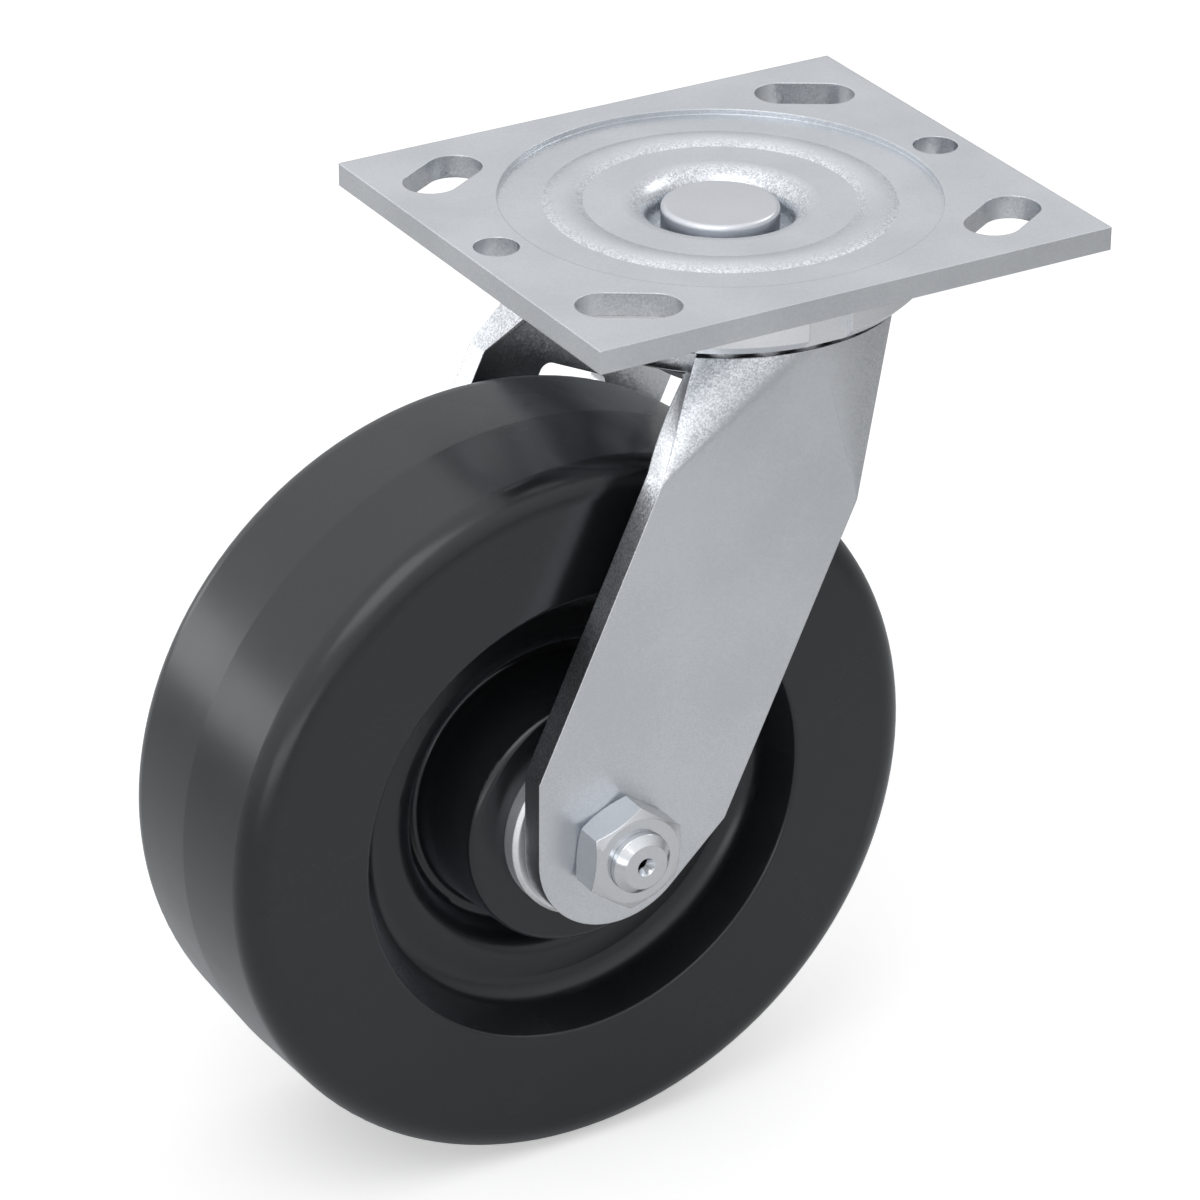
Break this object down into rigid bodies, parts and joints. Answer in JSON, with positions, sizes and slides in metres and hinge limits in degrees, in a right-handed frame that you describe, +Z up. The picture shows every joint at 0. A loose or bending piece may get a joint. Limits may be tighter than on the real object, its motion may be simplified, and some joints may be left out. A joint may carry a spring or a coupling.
{
  "type": "swivel castor",
  "caption": "Swivel plate castor: wide moulded wheel on a roller bearing in a formed steel fork, turning on ball races under a bolt-down plate.",
  "frame": {"origin": "centre of the plate's top face, on the swivel axis", "axes": "+Z up out of the plate's top face, X along the plate's long side with the wheel trailing towards -X, +Y towards the leg with the window"},
  "size_m": [0.1777, 0.1016, 0.1905],
  "materials": {
    "zinc_sheet": "zinc plated, fine satin grain",
    "race_steel": "hardened and zinc plated, satin",
    "bright_zinc": "bright zinc, turned",
    "bearing_steel": "ground and polished",
    "phenolic": "black moulded phenolic, satin"
  },
  "bodies": {
    "plate": {"top_plate": "zinc_sheet", "raceway_ring": "race_steel", "swivel_grease_fitting": "bright_zinc", "kingpin": "bright_zinc", "kingpin_nut": "bright_zinc", "kingpin_cotter_pin": "bright_zinc", "thrust_race": "race_steel"},
    "load_ball_set": {"load_balls": "bearing_steel"},
    "thrust_ball_set": {"thrust_balls": "bearing_steel"},
    "fork_body": {"fork": "zinc_sheet", "axle_bolt": "bright_zinc", "axle_nut": "bright_zinc", "spanner_bushing": "race_steel", "near_thrust_washer": "bright_zinc", "far_thrust_washer": "bright_zinc"},
    "wheel_body": {"wheel": "phenolic", "near_bearing_cap": "bright_zinc", "far_bearing_cap": "bright_zinc"},
    "roller_set": {"rollers": "bearing_steel", "roller_cage": "race_steel"}
  },
  "joints": [
    {"name": "swivel", "type": "hinge", "parent": "plate", "child": "fork_body", "pos_m": [0, 0, -0.0178], "axis": [0, 0, 1], "continuous": true},
    {"name": "wheel_spin", "type": "hinge", "parent": "fork_body", "child": "wheel_body", "pos_m": [-0.04445, 0, -0.1143], "axis": [0, 1, 0], "continuous": true},
    {"name": "load_ball_orbit", "type": "hinge", "parent": "plate", "child": "load_ball_set", "pos_m": [0, 0, -0.0178], "axis": [0, 0, 1], "continuous": true},
    {"name": "thrust_ball_orbit", "type": "hinge", "parent": "plate", "child": "thrust_ball_set", "pos_m": [0, 0, -0.0178], "axis": [0, 0, 1], "continuous": true},
    {"name": "roller_orbit", "type": "hinge", "parent": "fork_body", "child": "roller_set", "pos_m": [-0.04445, 0, -0.1143], "axis": [0, 1, 0], "continuous": true}
  ],
  "couplings": [
    {"joint": "load_ball_orbit", "follows": "swivel", "ratio": 0.5},
    {"joint": "thrust_ball_orbit", "follows": "swivel", "ratio": 0.5},
    {"joint": "roller_orbit", "follows": "wheel_spin", "ratio": 0.613}
  ]
}
